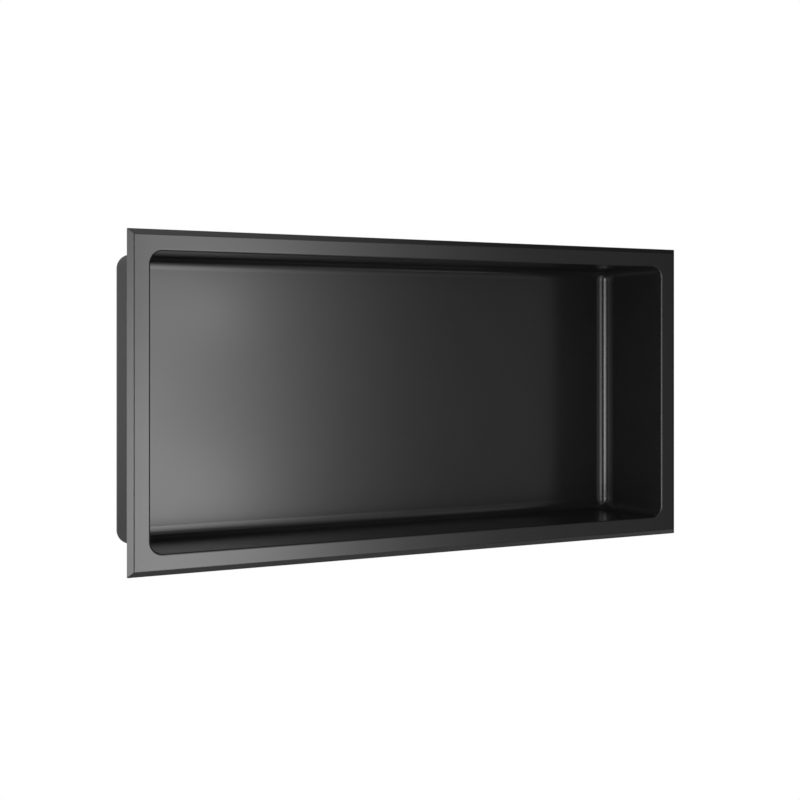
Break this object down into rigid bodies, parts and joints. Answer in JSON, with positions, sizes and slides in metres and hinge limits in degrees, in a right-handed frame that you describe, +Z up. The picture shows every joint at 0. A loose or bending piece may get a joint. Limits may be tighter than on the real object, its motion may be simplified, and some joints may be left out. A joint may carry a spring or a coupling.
{
  "type": "shower niche insert",
  "caption": "Recessed wall niche: an open rectangular box with rounded folds and a bevelled flange, set into a tiled shower wall to hold bottles and soap.",
  "frame": {"origin": "middle of the niche's mouth, in the plane of the wall's tiles, where the edge of the flange rests", "axes": "+X to the right along the wall as seen from the room, +Y into the wall, +Z up"},
  "size_m": [0.6, 0.1, 0.3],
  "materials": {
    "black_coat": "satin"
  },
  "bodies": {
    "root": {"niche_body": "black_coat"}
  },
  "joints": []
}
